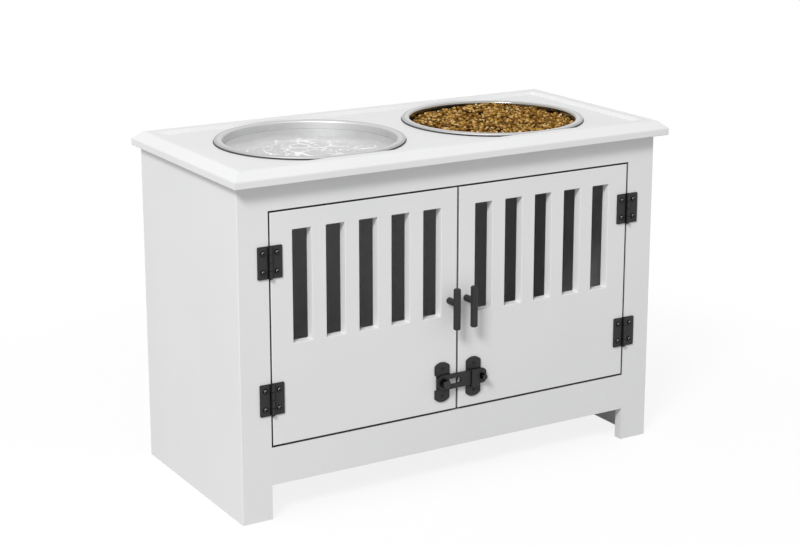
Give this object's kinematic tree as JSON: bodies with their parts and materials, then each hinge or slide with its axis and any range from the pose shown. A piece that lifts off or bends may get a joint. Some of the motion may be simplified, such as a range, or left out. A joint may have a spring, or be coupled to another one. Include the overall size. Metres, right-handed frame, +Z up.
{
  "type": "elevated dog feeder with storage cabinet",
  "caption": "Raised dog feeding station: lift-out steel bowls in a framed top over a white cabinet with slotted doors, T-bar handles and a flip latch.",
  "frame": {"origin": "on the floor under the middle of the whole object's bounding box", "axes": "+X along the front towards the right door, +Y from the front to the back, +Z up"},
  "size_m": [0.6, 0.2915, 0.418],
  "materials": {
    "white_paint": "satin white lacquer on fibreboard",
    "inner_boards": "grey interior primer",
    "bowl_steel": "polished stainless steel",
    "black_hardware": "satin black powder coat",
    "screw_zinc": "bright zinc"
  },
  "bodies": {
    "cabinet": {"top_rail": "white_paint", "bottom_rail": "white_paint", "door_stop": "inner_boards", "bottom_shelf": "inner_boards", "back_panel": "white_paint", "lower_back_rail": "inner_boards", "upper_back_rail": "inner_boards", "back_panel_screws": "screw_zinc", "shelf_screws": "screw_zinc", "top_panel_screws": "screw_zinc", "top_panel": "white_paint", "front_moulding": "white_paint", "back_moulding": "white_paint", "left_moulding": "white_paint", "right_moulding": "white_paint", "frame_hinge_screws": "black_hardware", "left_side_panel": "white_paint", "left_stile": "white_paint", "left_shelf_cleat": "inner_boards", "left_top_cleat": "inner_boards", "left_lower_hinge_frame_leaf": "black_hardware", "left_lower_hinge_pin": "black_hardware", "left_upper_hinge_frame_leaf": "black_hardware", "left_upper_hinge_pin": "black_hardware", "right_side_panel": "white_paint", "right_stile": "white_paint", "right_shelf_cleat": "inner_boards", "right_top_cleat": "inner_boards", "right_lower_hinge_frame_leaf": "black_hardware", "right_lower_hinge_pin": "black_hardware", "right_upper_hinge_frame_leaf": "black_hardware", "right_upper_hinge_pin": "black_hardware"},
    "left_door": {"left_door": "white_paint", "left_lower_hinge_door_leaf": "black_hardware", "left_upper_hinge_door_leaf": "black_hardware", "left_door_hinge_screws": "black_hardware", "left_handle_bar": "black_hardware", "left_handle_post": "black_hardware", "left_handle_screw": "screw_zinc", "latch_plate": "black_hardware", "latch_plate_screws": "black_hardware", "latch_pivot_pin": "black_hardware"},
    "right_door": {"right_door": "white_paint", "right_lower_hinge_door_leaf": "black_hardware", "right_upper_hinge_door_leaf": "black_hardware", "right_door_hinge_screws": "black_hardware", "right_handle_bar": "black_hardware", "right_handle_post": "black_hardware", "right_handle_screw": "screw_zinc", "latch_keeper": "black_hardware", "latch_keeper_screws": "black_hardware"},
    "latch": {"latch_bar": "black_hardware", "latch_knob": "black_hardware"},
    "left_bowl": {"left_bowl": "bowl_steel"},
    "right_bowl": {"right_bowl": "bowl_steel"}
  },
  "joints": [
    {"name": "left_door_swing", "type": "hinge", "parent": "cabinet", "child": "left_door", "pos_m": [-0.25075, -0.12635, 0.2275], "axis": [0, 0, -1], "range_deg": [0, 165]},
    {"name": "right_door_swing", "type": "hinge", "parent": "cabinet", "child": "right_door", "pos_m": [0.25075, -0.12635, 0.2275], "axis": [0, 0, 1], "range_deg": [0, 165]},
    {"name": "latch_flip", "type": "hinge", "parent": "left_door", "child": "latch", "pos_m": [-0.0223, -0.12775, 0.127], "axis": [0, -1, 0], "range_deg": [0, 180]},
    {"name": "left_bowl_lift", "type": "slide", "parent": "cabinet", "child": "left_bowl", "axis": [0, 0, 1], "range_m": [0, 0.1]},
    {"name": "right_bowl_lift", "type": "slide", "parent": "cabinet", "child": "right_bowl", "axis": [0, 0, 1], "range_m": [0, 0.1]}
  ]
}
